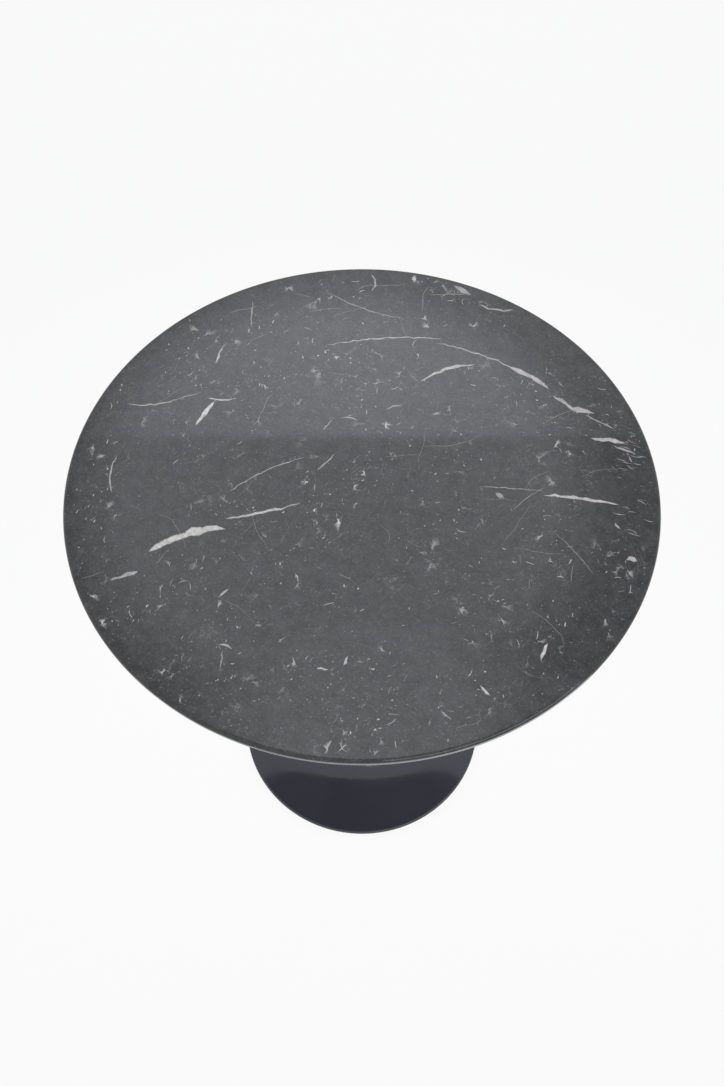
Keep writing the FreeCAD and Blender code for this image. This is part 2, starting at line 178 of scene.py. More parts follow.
def new_piece(name, shape, material, body, replaced):
    """Make a piece from its vertices and faces, shade it, and let it ride in place of CAD nodes."""
    mesh = bpy.data.meshes.new(name)
    mesh.from_pydata(shape[0], [], shape[1])
    mesh.validate()
    mesh.shade_smooth()
    mesh.set_sharp_from_angle(angle=SHARP_EDGE)
    mesh.materials.append(material)
    piece = bpy.data.objects.new(name, mesh)
    bpy.context.scene.collection.objects.link(piece)
    shading = piece.modifiers.new("face_weighted_normals", "WEIGHTED_NORMAL")
    shading.keep_sharp = True
    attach(piece, body)
    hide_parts(*replaced)
    return piece


# ---- Materials ----

# Colours as red, green and blue.
STONE_BLACK = (0.006, 0.0062, 0.0064)
STONE_CHARCOAL = (0.034, 0.0345, 0.035)
STONE_GRAIN = (0.078, 0.08, 0.08)
STONE_CLOUD = (0.085, 0.088, 0.09)
STONE_VEIN = (0.56, 0.55, 0.53)
LACQUER_DARK = (0.034, 0.035, 0.047)
LACQUER_LIGHT = (0.041, 0.042, 0.055)
LACQUER_DUST = (0.25, 0.25, 0.26)
BOARD_DARK = (0.016, 0.016, 0.017)
BOARD_LIGHT = (0.028, 0.027, 0.027)
IRON_DARK = (0.02, 0.02, 0.021)
IRON_LIGHT = (0.045, 0.044, 0.043)
STEEL_DARK = (0.42, 0.43, 0.44)
STEEL_LIGHT = (0.62, 0.62, 0.6)
BRASS_DARK = (0.55, 0.38, 0.16)
BRASS_LIGHT = (0.74, 0.55, 0.27)
RUBBER_DARK = (0.018, 0.018, 0.018)
RUBBER_LIGHT = (0.03, 0.03, 0.031)
CAP_DARK = (0.014, 0.014, 0.015)
CAP_LIGHT = (0.026, 0.026, 0.027)
NYLON_DARK = (0.022, 0.022, 0.023)
NYLON_LIGHT = (0.04, 0.04, 0.041)


def node(material, kind, inputs=None, **settings):
    """Add a shader node; an input is a number, a colour or another node's output."""
    tree = material.node_tree
    added = tree.nodes.new(kind)
    for setting, choice in settings.items():
        setattr(added, setting, choice)
    for socket, given in (inputs or {}).items():
        if isinstance(given, bpy.types.NodeSocket):
            tree.links.new(given, added.inputs[socket])
        else:
            added.inputs[socket].default_value = given
    return added


def new_material(name, finish):
    """Start a material, with its even values set on the surface's own sockets."""
    material = bpy.data.materials.new(name)
    material.use_nodes = True
    surface = material.node_tree.nodes["Principled BSDF"]
    for socket, number in finish.items():
        surface.inputs[socket].default_value = number
    return material, surface


def place(material):
    """Where a point lies on the table, in metres."""
    return node(material, "ShaderNodeTexCoord").outputs["Object"]


def noise_of(material, coordinates, size, detail=3, roughness=0.55, distortion=0):
    """Noise whose blotches are about size across, in metres."""
    inputs = {"Vector": coordinates, "Scale": 1 / size, "Detail": detail, "Roughness": roughness,
              "Distortion": distortion}
    return node(material, "ShaderNodeTexNoise", inputs).outputs["Fac"]


def spread(material, value, low, high, to_low=0.0, to_high=1.0):
    """Map a value's range from low to high onto another range, and hold it there."""
    inputs = {"Value": value, "From Min": low, "From Max": high, "To Min": to_low, "To Max": to_high}
    return node(material, "ShaderNodeMapRange", inputs).outputs["Result"]


def math_of(material, operation, first, second=0.0):
    """Work out one sum; each of the two is a number or another node's output."""
    return node(material, "ShaderNodeMath", {0: first, 1: second}, operation=operation).outputs[0]


def mix(material, share, first, second):
    """Mix two colours by share."""
    mixer = node(material, "ShaderNodeMix", data_type="RGBA")
    tree = material.node_tree
    colours = [socket for socket in mixer.inputs if socket.type == "RGBA"]
    tree.links.new(share, mixer.inputs[0])
    for socket, given in zip(colours, (first, second)):
        if isinstance(given, bpy.types.NodeSocket):
            tree.links.new(given, socket)
        else:
            socket.default_value = (*given, 1)
    return next(socket for socket in mixer.outputs if socket.type == "RGBA")


def connect(material, output, surface, socket):
    """Drive one of the surface's own sockets."""
    material.node_tree.links.new(output, surface.inputs[socket])


def bump(material, surface, height, depth, strength=1.0):
    """Raise the surface by the height, up to depth in metres."""
    inputs = {"Height": height, "Distance": depth, "Strength": strength}
    connect(material, node(material, "ShaderNodeBump", inputs).outputs["Normal"], surface, "Normal")


def marble():
    """Polished black marble: mottled ground, pale clouds, hairlines, flecks and drawn veins."""
    material, surface = new_material("black_marble", {"IOR": 1.5})
    spot = place(material)

    # Ground: blotches, a finer grain on them, and a few wide pale clouds.
    mottle = noise_of(material, spot, 14 * MM, detail=8, roughness=0.78)
    ground = mix(material, spread(material, mottle, 0.35, 0.68), STONE_BLACK, STONE_CHARCOAL)
    grain = noise_of(material, spot, 2.2 * MM, detail=4, roughness=0.75)
    ground = mix(material, spread(material, grain, 0.5, 0.72, 0, 0.6), ground, STONE_GRAIN)
    cloud = noise_of(material, spot, 75 * MM, detail=5, roughness=0.6, distortion=0.8)
    ground = mix(material, spread(material, cloud, 0.57, 0.76, 0, 0.22), ground, STONE_CLOUD)

    # Hairlines run where a noise crosses its middle value, and fade out in patches.
    streak = noise_of(material, spot, 52 * MM, detail=6, roughness=0.6, distortion=1.6)
    offset = math_of(material, "ABSOLUTE", math_of(material, "SUBTRACT", streak, 0.5))
    line = spread(material, offset, 0.0, 0.0032, 1, 0)
    where = spread(material, noise_of(material, spot, 30 * MM, detail=2), 0.5, 0.66, 0, 0.28)
    hairline = math_of(material, "MULTIPLY", line, where)
    flecks = [
        fleck_layer(material, spot, 1.9 * MM, 0.24, 0.3),
        fleck_layer(material, spot, 4.6 * MM, 0.13, 0.6),
    ]

    # Veins: the mesh says how deep in one a point lies; the noise frays its edge and smears its tone.
    ridge = node(material, "ShaderNodeAttribute", attribute_name="vein").outputs["Fac"]
    tone = node(material, "ShaderNodeAttribute", attribute_name="tone").outputs["Fac"]
    ragged = noise_of(material, spot, 1.2 * MM, detail=4, roughness=0.7)
    torn = math_of(material, "ADD", ridge, spread(material, ragged, 0.25, 0.75, -0.16, 0.2))
    frayed = spread(material, torn, 0.1, 0.3)
    inside = math_of(material, "MULTIPLY", frayed, spread(material, ridge, 0.0, 0.06))
    smear = spread(material, noise_of(material, spot, 4 * MM, detail=4), 0.3, 0.7, 0.6, 1.1)
    drawn = math_of(material, "MULTIPLY", math_of(material, "MULTIPLY", inside, tone), smear)

    share = math_of(material, "MAXIMUM", hairline, drawn)
    for layer in flecks:
        share = math_of(material, "MAXIMUM", share, layer)
    connect(material, mix(material, share, ground, STONE_VEIN), surface, "Base Color")
    connect(material, spread(material, share, 0, 1, 0.045, 0.12), surface, "Roughness")
    bump(material, surface, noise_of(material, spot, 2.5 * MM, detail=2), 0.003 * MM)
    return material


def fleck_layer(material, spot, cell, reach, brightest):
    """Scattered pale flecks, at most one in a cell, each of its own size, shape and tone.

    The largest has a radius of about reach times the cell. Most cells' flecks are too small to see.
    """
    bend = node(material, "ShaderNodeTexNoise", {"Vector": spot, "Scale": 2.5 / cell, "Detail": 1})
    shift = node(material, "ShaderNodeVectorMath", {0: bend.outputs["Color"], 1: (0.07 * cell,) * 3},
                 operation="MULTIPLY")
    bent = node(material, "ShaderNodeVectorMath", {0: spot, 1: shift.outputs[0]}, operation="ADD")
    cells = node(material, "ShaderNodeTexVoronoi", {"Vector": bent.outputs[0], "Scale": 1 / cell})
    chance = node(material, "ShaderNodeSeparateColor", {"Color": cells.outputs["Color"]})
    size = spread(material, chance.outputs[0], 0.6, 1.0, 0.0001, reach)
    near = math_of(material, "DIVIDE", cells.outputs["Distance"], size)
    disc = spread(material, near, 0.75, 1.1, 1, 0)
    tone = spread(material, chance.outputs[1], 0.2, 1.0, 0.05, brightest)
    return math_of(material, "MULTIPLY", disc, tone)


def lacquer():
    """Navy-black gloss lacquer on a sanded casting, with a faint orange-peel surface."""
    material, surface = new_material("gloss_lacquer", {"IOR": 1.5})
    spot = place(material)
    shade = noise_of(material, spot, 90 * MM, detail=4)
    colour = mix(material, spread(material, shade, 0.35, 0.7), LACQUER_DARK, LACQUER_LIGHT)
    dust = fleck_layer(material, spot, 11 * MM, 0.04, 0.35)
    connect(material, mix(material, dust, colour, LACQUER_DUST), surface, "Base Color")
    haze = noise_of(material, spot, 25 * MM, detail=5, roughness=0.65)
    connect(material, spread(material, haze, 0.35, 0.75, 0.08, 0.13), surface, "Roughness")
    bump(material, surface, noise_of(material, spot, 3.5 * MM, detail=2), 0.006 * MM)
    return material


def painted_board():
    """Fibreboard under thin matte black paint; its pressed fibres show through."""
    material, surface = new_material("painted_board", {"IOR": 1.45})
    spot = place(material)
    fibres = noise_of(material, spot, 1.2 * MM, detail=6, roughness=0.75, distortion=0.5)
    patches = noise_of(material, spot, 28 * MM, detail=3)
    colour = mix(material, spread(material, patches, 0.35, 0.7), BOARD_DARK, BOARD_LIGHT)
    connect(material, colour, surface, "Base Color")
    connect(material, spread(material, fibres, 0.3, 0.7, 0.55, 0.75), surface, "Roughness")
    bump(material, surface, fibres, 0.08 * MM)
    return material


def metal(name, dark, light, roughness, grain, depth):
    """Bare or plated metal with blotchy tone, uneven polish and fine tool marks."""
    material, surface = new_material(name, {"Metallic": 1.0})
    spot = place(material)
    blotch = noise_of(material, spot, 9 * MM, detail=6, roughness=0.7)
    connect(material, mix(material, spread(material, blotch, 0.3, 0.7), dark, light), surface, "Base Color")
    marks = noise_of(material, spot, grain, detail=3, roughness=0.6)
    connect(material, spread(material, marks, 0.3, 0.7, *roughness), surface, "Roughness")
    bump(material, surface, marks, depth)
    return material


def cast_iron():
    """Sand-cast iron under sprayed black primer."""
    material, surface = new_material("painted_iron", {"IOR": 1.45})
    spot = place(material)
    sand = noise_of(material, spot, 1.6 * MM, detail=5, roughness=0.7)
    lumps = noise_of(material, spot, 14 * MM, detail=3)
    colour = mix(material, spread(material, lumps, 0.3, 0.7), IRON_DARK, IRON_LIGHT)
    connect(material, colour, surface, "Base Color")
    connect(material, spread(material, sand, 0.3, 0.7, 0.45, 0.7), surface, "Roughness")
    swells = math_of(material, "MULTIPLY", lumps, 2.0)
    bump(material, surface, math_of(material, "ADD", sand, swells), 0.18 * MM)
    return material


def moulded(name, dark, light, grain, depth):
    """Moulded plastic or rubber with a spark-eroded grain."""
    material, surface = new_material(name, {"IOR": 1.5})
    spot = place(material)
    texture = noise_of(material, spot, grain, detail=3, roughness=0.65)
    scuffs = noise_of(material, spot, 7 * MM, detail=5, roughness=0.7)
    connect(material, mix(material, spread(material, scuffs, 0.35, 0.7), dark, light), surface, "Base Color")
    connect(material, spread(material, scuffs, 0.3, 0.7, 0.4, 0.58), surface, "Roughness")
    bump(material, surface, texture, depth)
    return material


# ---- Veins of the stone top ----

# The larger veins, listed one by one. The middle of each lies so far to the right and to the rear, and
# each is so long, in shares of the top's radius; it heads so many degrees round from the right,
# and bends by a share of its length; half width in millimetres, tone from 0 to 1.
MAIN_VEINS = [
    # Left half, from the rear to the front.
    (-0.41, 0.76, 0.14, 90, 0.00, 0.7, 0.50),
    (-0.52, 0.56, 0.09, 75, 0.05, 1.1, 0.75),
    (-0.73, 0.33, 0.20, 8, -0.10, 0.9, 0.60),
    (-0.61, 0.37, 0.10, 20, 0.00, 0.7, 0.45),
    (-0.50, 0.35, 0.10, -2, -0.08, 1.5, 0.95),
    (-0.55, 0.29, 0.13, 62, 0.00, 2.3, 1.00),
    (-0.12, 0.24, 0.06, 55, 0.00, 0.7, 0.55),
    (-0.04, 0.27, 0.06, -15, 0.15, 0.9, 0.55),
    (-0.12, 0.08, 0.10, 50, 0.00, 0.8, 0.60),
    (-0.33, 0.04, 0.30, 30, 0.06, 0.6, 0.60),
    (-0.85, 0.03, 0.16, 90, 0.08, 0.9, 0.60),
    (-0.35, -0.13, 0.21, 13, 0.00, 1.9, 0.85),
    (-0.24, -0.10, 0.08, 20, 0.00, 0.7, 0.60),
    (-0.61, -0.23, 0.20, 30, 0.02, 5.0, 0.90),
    (-0.51, -0.19, 0.13, 12, 0.14, 4.6, 0.90),
    (-0.76, -0.37, 0.10, 20, 0.00, 2.4, 0.60),
    (-0.86, -0.39, 0.14, -8, -0.10, 0.6, 0.45),
    (-0.44, -0.43, 0.05, 45, 0.10, 1.2, 0.70),
    (-0.42, -0.62, 0.05, -20, 0.10, 1.2, 0.70),
    (-0.43, -0.67, 0.08, 85, 0.00, 0.6, 0.50),
    (-0.12, -0.70, 0.04, -5, 0.00, 1.3, 0.90),
    (-0.05, -0.67, 0.04, 70, 0.00, 1.4, 0.85),
    (-0.06, -0.95, 0.05, 110, 0.25, 0.6, 0.50),
    # Right half, from the rear to the front.
    (0.05, 0.92, 0.10, 90, -0.15, 1.0, 0.55),
    (0.20, 0.94, 0.02, 90, 0.00, 2.2, 0.90),
    (0.38, 0.88, 0.09, -38, 0.00, 4.2, 0.50),
    (0.33, 0.86, 0.16, 2, 0.00, 0.5, 0.45),
    (0.50, 0.78, 0.14, -12, -0.12, 1.6, 0.60),
    (0.00, 0.79, 0.33, -26, -0.06, 0.6, 0.50),
    (0.08, 0.64, 0.44, 4, 0.05, 0.8, 0.70),
    (0.43, 0.56, 0.34, -25, 0.04, 0.9, 0.65),
    (0.60, 0.46, 0.18, -38, 0.05, 3.0, 0.75),
    (0.71, 0.34, 0.10, -40, 0.00, 2.0, 0.65),
    (0.77, 0.30, 0.10, -15, 0.00, 4.4, 0.70),
    (0.83, 0.25, 0.12, -33, 0.00, 1.1, 0.50),
    (0.30, 0.49, 0.22, 22, 0.08, 2.3, 0.75),
    (0.11, 0.32, 0.07, 15, 0.10, 0.9, 0.55),
    (0.85, 0.17, 0.13, -10, 0.00, 2.6, 0.75),
    (0.90, 0.13, 0.09, -28, 0.00, 1.2, 0.60),
    (0.50, -0.03, 0.22, -5, 0.00, 0.5, 0.50),
    (0.55, -0.07, 0.16, 40, 0.05, 0.4, 0.40),
    (0.73, -0.07, 0.26, -9, 0.03, 2.1, 0.85),
    (0.46, -0.06, 0.04, -40, 0.00, 2.4, 0.50),
    (0.84, -0.18, 0.03, -60, 0.00, 1.3, 0.80),
    (0.69, -0.28, 0.20, -55, 0.04, 0.4, 0.40),
    (0.87, -0.31, 0.04, -5, 0.10, 2.8, 0.75),
    (0.56, -0.64, 0.07, 65, 0.00, 1.7, 1.00),
    (0.37, -0.77, 0.05, -50, 0.00, 1.5, 0.85),
]
MAIN_STEP = 3.2 * MM
MAIN_LEAST_WIDTH = 0.45
MAIN_MOST_DRIFT = 0.8

# Short offshoots of the larger veins.
OFFSHOOT_CHANCE = 0.22
OFFSHOOT_DEGREES = (12, 45)
OFFSHOOT_LENGTHS = (2 * MM, 7 * MM)
OFFSHOOT_HALF_WIDTH = 0.35 * MM
OFFSHOOT_TONE = 0.55

# Hairlines: their stride and half widths are in millimetres.
HAIRLINE_COUNT = 36
HAIRLINE_DEGREES = (25, -25, 80)
HAIRLINE_STRIDES = (5, 16)
HAIRLINE_STRIDE = 3.5
HAIRLINE_HALF_WIDTHS = (0.2, 0.32)
HAIRLINE_TONES = (0.2, 0.42)

# The swarm: its places, in shares of the top's radius, and its headings are (mean, deviation).
SWARM_COUNT = 46
SWARM_RIGHT = (0.92, 0.035)
SWARM_REAR = (0.06, 0.13)
SWARM_DEGREES = (-22, 16)
SWARM_LENGTHS = (3 * MM, 13 * MM)
SWARM_HALF_WIDTHS = (0.3 * MM, 0.6 * MM)
SWARM_TONES = (0.3, 0.65)

# Shards: how many, their lengths and half widths, their straight pieces and least share of width.
SHARDS = (
    (340, (2.5 * MM, 11 * MM), (0.3 * MM, 0.55 * MM), 4, 0.6),
    (480, (1.3 * MM, 3.2 * MM), (0.4 * MM, 0.75 * MM), 4, 0.8),
    (1700, (0.8 * MM, 2.2 * MM), (0.25 * MM, 0.5 * MM), 2, 0.8),
)
SHARD_PATCH = 40 * MM
SHARD_PATCH_LAYER = 3.7
SHARD_UPRIGHT_CHANCE = 0.35
SHARD_RARITY = 2.2
SHARD_LEAST_TONE = 0.16

# How the top face is cut.
STONE_SEED = 11
STONE_AROUND = 320
STONE_MARGIN = 1.5 * MM
BACKGROUND_STEP = 11 * MM
BACKGROUND_JITTER = 0.3
SAME_SPOT = 1e-7
ON_BORDER = 0.05 * MM
VEIN_EDGE_MARGIN = 0.02
LEAST_HALF_WIDTH = 0.02 * MM


def bowed(middle, heading, length, bend, count):
    """Points along a shallow bow; both ends fall to its right side by bend times its length."""
    along = Vector((math.cos(heading), math.sin(heading)))
    right_side = Vector((along.y, -along.x))
    points = []
    for index in range(count + 1):
        share = index / count - 0.5
        points.append(middle + (along * share + right_side * bend * 4 * share * share) * length)
    return points


def tapered(points, half_width, chance, least=0.25, most=1.3):
    """Give each point of a stroke its own half width on either side; the ends run out to nothing."""
    last = len(points) - 1
    sides = [(0, 0)]
    for index in range(1, last):
        share = half_width * math.sin(math.pi * index / last) ** 0.5
        sides.append((share * chance.uniform(least, most), share * chance.uniform(least, most)))
    return sides + [(0, 0)]


def scattered(radius, chance):
    """A spot anywhere on a round face, all of it equally likely."""
    reach = radius * math.sqrt(chance.random())
    angle = chance.uniform(0, TURN)
    return Vector((reach * math.cos(angle), reach * math.sin(angle)))


def main_strokes(radius, chance):
    """The larger veins, ragged and a little crooked, with short offshoots along them."""
    strokes = []
    for right, rear, length, degrees, bend, half_width, tone in MAIN_VEINS:
        heading = math.radians(degrees)
        count = max(3, round(length * radius / (MAIN_STEP + half_width * MM)))
        points = bowed(Vector((right, rear)) * radius, heading, length * radius, bend, count)
        drift = min(half_width, MAIN_MOST_DRIFT) * MM
        for point in points[1:-1]:
            point += Vector((-math.sin(heading), math.cos(heading))) * chance.uniform(-drift, drift)
        strokes.append((points, tapered(points, half_width * MM, chance, MAIN_LEAST_WIDTH), tone))
        for start in points[:-1]:
            if chance.random() > OFFSHOOT_CHANCE:
                continue
            turn = heading + chance.choice((-1, 1)) * math.radians(chance.uniform(*OFFSHOOT_DEGREES))
            reach = Vector((math.cos(turn), math.sin(turn))) * chance.uniform(*OFFSHOOT_LENGTHS)
            shoot = [start, start + reach / 2, start + reach]
            sides = tapered(shoot, OFFSHOOT_HALF_WIDTH, chance, 0.7)
            strokes.append((shoot, sides, tone * OFFSHOOT_TONE))
    return strokes


def hairlines(radius, chance):
    """Long faint threads that wander over the top."""
    strokes = []
    for _ in range(HAIRLINE_COUNT):
        heading = math.radians(chance.choice(HAIRLINE_DEGREES)) + chance.gauss(0, 0.3)
        points = [scattered(radius, chance)]
        for _ in range(chance.randint(*HAIRLINE_STRIDES)):
            heading += chance.gauss(0, 0.16)
            ahead = Vector((math.cos(heading), math.sin(heading))) * HAIRLINE_STRIDE * MM
            points.append(points[-1] + ahead)
        half_width = chance.uniform(*HAIRLINE_HALF_WIDTHS) * MM
        sides = tapered(points, half_width, chance, 0.6)
        strokes.append((points, sides, chance.uniform(*HAIRLINE_TONES)))
    return strokes


def swarm(radius, chance):
    """Feathery streaks in the crushed stone beside the rim, on the right."""
    strokes = []
    for _ in range(SWARM_COUNT):
        middle = Vector((chance.gauss(*SWARM_RIGHT), chance.gauss(*SWARM_REAR))) * radius
        heading = math.radians(chance.gauss(*SWARM_DEGREES))
        length = chance.uniform(*SWARM_LENGTHS)
        points = bowed(middle, heading, length, chance.uniform(-0.2, 0.2), 4)
        sides = tapered(points, chance.uniform(*SWARM_HALF_WIDTHS), chance)
        strokes.append((points, sides, chance.uniform(*SWARM_TONES)))
    return strokes


def shards(radius, count, lengths, half_widths, pieces, least, chance):
    """Short curved shards, thrown over the top; they follow a slow swirl and gather in patches."""
    strokes = []
    while len(strokes) < count:
        middle = scattered(radius, chance)
        crowd = noise.noise(Vector((*(middle / SHARD_PATCH), SHARD_PATCH_LAYER)))
        if chance.random() > 0.5 + 1.2 * crowd:
            continue
        heading = math.radians(25) - 0.9 * middle.x / radius + chance.gauss(0, 0.6)
        if chance.random() < SHARD_UPRIGHT_CHANCE:
            heading = math.radians(90) + chance.gauss(0, 0.3)
        length = lengths[0] + (lengths[1] - lengths[0]) * chance.random() ** SHARD_RARITY
        points = bowed(middle, heading, length, chance.uniform(-0.22, 0.22), pieces)
        tone = SHARD_LEAST_TONE + (1 - SHARD_LEAST_TONE) * chance.random() ** SHARD_RARITY
        strokes.append((points, tapered(points, chance.uniform(*half_widths), chance, least), tone))
    return strokes


def ridge_and_tone(spots, strokes):
    """How deep each spot lies in a vein, 1 on its middle and 0 from its edge on, and its tone."""
    spots = np.array(spots)
    order = np.argsort(spots[:, 0])
    sorted_x = spots[order, 0]
    ridges, tones, nearness = (np.zeros(len(spots)) for _ in range(3))
    for points, sides, tone in strokes:
        for index in range(len(points) - 1):
            start, end = np.array(points[index]), np.array(points[index + 1])
            widest = 1.1 * max(*sides[index], *sides[index + 1])
            leftmost = min(start[0], end[0]) - widest
            rightmost = max(start[0], end[0]) + widest
            first, last = np.searchsorted(sorted_x, (leftmost, rightmost))
            near = order[first:last]
            run = end - start
            away = spots[near] - start
            share = np.clip(away @ run / (run @ run), 0, 1)
            distance = np.linalg.norm(away - share[:, None] * run, axis=1)
            on_left = (run[0] * away[:, 1] - run[1] * away[:, 0] > 0).astype(int)
            ahead = np.array(sides[index + 1])[1 - on_left]
            behind = np.array(sides[index])[1 - on_left]
            half_width = np.maximum(behind + (ahead - behind) * share, LEAST_HALF_WIDTH)
            depth = 1 + VEIN_EDGE_MARGIN - distance / half_width
            crest = (sides[index][0] > 0) * (1 - share) + (sides[index + 1][0] > 0) * share
            closer = depth > nearness[near]
            tones[near[closer]] = tone
            nearness[near[closer]] = depth[closer]
            ridges[near] = np.maximum(ridges[near], crest * np.clip(depth - VEIN_EDGE_MARGIN, 0, 1))
    return ridges, tones


def stone_top(material):
    """The top face is cut along the veins; the rounded edge, bevel and underside are turned."""
    low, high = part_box("marble_top")
    radius = high.x
    flat = radius - EDGE_ROUND
    inner = flat - STONE_MARGIN
    around = STONE_AROUND
    chance = random.Random(STONE_SEED)

    strokes = main_strokes(radius, chance)
    strokes += hairlines(inner, chance)
    strokes += swarm(radius, chance)
    for sizes in SHARDS:
        strokes += shards(inner, *sizes, chance)
    strokes = [stroke for stroke in strokes if max(point.length for point in stroke[0]) < inner]

    border = [Vector(point[:2]) for point in ring(flat, 0, around)]
    spots = list(border)
    edges = [(index, (index + 1) % around) for index in range(around)]
    for points, sides, _ in strokes:
        lines = [[], [], []]
        for index, point in enumerate(points):
            before = points[max(index - 1, 0)]
            after = points[min(index + 1, len(points) - 1)]
            along = (after - before).normalized()
            leftwards = Vector((-along.y, along.x))
            left, right = sides[index]
            places = (point + leftwards * left, point, point - leftwards * right)
            if left == 0:
                places = places[:1]
            for number, line in enumerate(lines):
                line.append(len(spots) + min(number, len(places) - 1))
            spots.extend(places)
        for line in lines:
            edges.extend(zip(line, line[1:]))
    count = int(inner / BACKGROUND_STEP)
    for column in range(-count, count + 1):
        for row in range(-count, count + 1):
            across = column + chance.uniform(-BACKGROUND_JITTER, BACKGROUND_JITTER)
            rearwards = row + chance.uniform(-BACKGROUND_JITTER, BACKGROUND_JITTER)
            spot = Vector((across, rearwards)) * BACKGROUND_STEP
            if spot.length < inner:
                spots.append(spot)
    spots, _, triangles, *_ = delaunay_2d_cdt(spots, edges, [], 0, SAME_SPOT)
    ridges, shades = ridge_and_tone(spots, strokes)

    top = [(spot.x, spot.y, high.z) for spot in spots]
    outline = rounded([
        (0, low.z, 0),
        (radius - BEVEL_WIDTH, low.z, BEVEL_ROUND),
        (radius, high.z - EDGE_HEIGHT, LOWER_EDGE_ROUND),
        (radius, high.z, EDGE_ROUND),
        (0, high.z, 0),
    ], steps=8)[:-2]
    lower, walls = turned(outline, around)
    vertices = top + lower
    shift = len(top)
    faces = list(triangles) + [tuple(shift + corner for corner in wall) for wall in walls]
    last_row = len(lower) - around
    nearest = {}
    for index, spot in enumerate(spots):
        if spot.length > flat - ON_BORDER:
            nearest[round(math.atan2(spot.y, spot.x) / TURN * around) % around] = index
    for step in range(around):
        ahead = (step + 1) % around
        faces.append((shift + last_row + step, shift + last_row + ahead, nearest[ahead], nearest[step]))

    piece = new_piece("stone_top", (vertices, faces), material, "table", ["marble_top"])
    for name, values in (("vein", ridges), ("tone", shades)):
        attribute = piece.data.attributes.new(name, "FLOAT", "POINT")
        attribute.data.foreach_set("value", list(values) + [0.0] * len(lower))


# ---- Underside and glides ----

def middle_of(node_name):
    """The upright axis of a node, as seen from above."""
    low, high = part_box(node_name)
    return (low.x + high.x) / 2, (low.y + high.y) / 2


def hexagon_at(angle):
    """Radius of the stem's hexagon at an angle; its corners are at 0, 60, 120 and so on."""
    return HEXAGON_HALF_WIDTH / math.cos(angle % math.radians(60) - math.radians(30))


def turned_hexagon(limit):
    """Radius of the hexagon as a function of the angle, with its corners turned off at a limit."""
    def radius(angle):
        return min(limit, hexagon_at(angle))
    return radius


def thread_at(height, fade):
    """Radius of the screw thread as a function of the angle, at one height."""
    def radius(angle):
        phase = (height / THREAD_PITCH - angle / TURN) % 1
        flank = abs(2 * phase - 1)
        groove = min(1, max(0, THREAD_FLANK_SLOPE * flank - THREAD_CREST))
        return THREAD_RADIUS - THREAD_DEPTH * fade * groove
    return radius


def glide_stem(corner, material):
    """Foot, neck, hexagon with its corners turned off, and a real screw thread."""
    node_name = f"glide_stem_{corner}"
    centre = middle_of(node_name)
    low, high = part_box(node_name)
    around = 72
    corner_radius = HEXAGON_HALF_WIDTH / math.cos(math.radians(30))
    chamfer = (corner_radius - HEXAGON_HALF_WIDTH) * math.tan(math.radians(30))
    levels = [
        (0, low.z),
        (FOOT_RADIUS - FOOT_CHAMFER, low.z),
        (FOOT_RADIUS, low.z + FOOT_CHAMFER),
        (FOOT_RADIUS, low.z + FOOT_HEIGHT),
        (NECK_RADIUS, low.z + FOOT_HEIGHT),
        (NECK_RADIUS, HEXAGON_BASE),
    ]
    rings = [ring(radius, height, around, centre) for radius, height in levels]
    steps = 5
    for end, sign in ((HEXAGON_BASE, 1), (HEXAGON_TOP, -1)):
        rows = []
        for step in range(steps + 1):
            limit = HEXAGON_TURNED_TO + (corner_radius - HEXAGON_TURNED_TO) * step / steps
            height = end + sign * chamfer * step / steps
            rows.append(ring(turned_hexagon(limit), height, around, centre))
        rings.extend(rows if sign > 0 else reversed(rows))
    thread_base = HEXAGON_TOP + THREAD_RUNOUT
    thread_top = high.z
    rings.append(ring(THREAD_RADIUS - THREAD_DEPTH, HEXAGON_TOP, around, centre))
    rows = round((thread_top - thread_base) / THREAD_PITCH * THREAD_LEVELS_PER_TURN)
    for row in range(rows):
        height = thread_base + (thread_top - thread_base) * row / rows
        fade = min(1, (thread_top - height) / THREAD_PITCH)
        rings.append(ring(thread_at(height, fade), height, around, centre))
    rings.append(ring(THREAD_RADIUS - THREAD_TIP_DEPTH, thread_top, around, centre))
    rings.append(ring(0, thread_top, around, centre))
    new_piece(f"{node_name}_turned", skin(rings), material, f"stem_{corner}", [node_name])


def glide_pad(corner, material):
    """Moulded foot: rounded rim, a shallow ring pressed in its sole, and the stepped socket."""
    node_name = f"glide_pad_{corner}"
    low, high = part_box(node_name)
    radius = (high.x - low.x) / 2
    neck = NECK_RADIUS + SOCKET_CLEARANCE
    foot = FOOT_RADIUS + SOCKET_CLEARANCE
    outline = rounded([
        (0, low.z, 0),
        (SOLE_RING_INSIDE * radius, low.z, SOLE_RING_ROUND),
        (SOLE_RING_INSIDE * radius, low.z + SOLE_RING_DEPTH, SOLE_RING_ROUND),
        (SOLE_RING_OUTSIDE * radius, low.z + SOLE_RING_DEPTH, SOLE_RING_ROUND),
        (SOLE_RING_OUTSIDE * radius, low.z, SOLE_RING_ROUND),
        (radius, low.z, PAD_LOWER_ROUND),
        (radius, high.z, PAD_UPPER_ROUND),
        (neck + SOCKET_MOUTH_WIDTH, high.z, 0),
        (neck, high.z - SOCKET_MOUTH_DEPTH, 0),
        (neck, low.z + SOCKET_STEP, 0),
        (foot, low.z + SOCKET_STEP, 0),
        (foot, low.z + SOCKET_FLOOR, 0),
        (0, low.z + SOCKET_FLOOR, 0),
    ], steps=5)
    shape = turned(outline, 72, middle_of(node_name))
    new_piece(f"{node_name}_moulded", shape, material, f"pad_{corner}", [node_name])


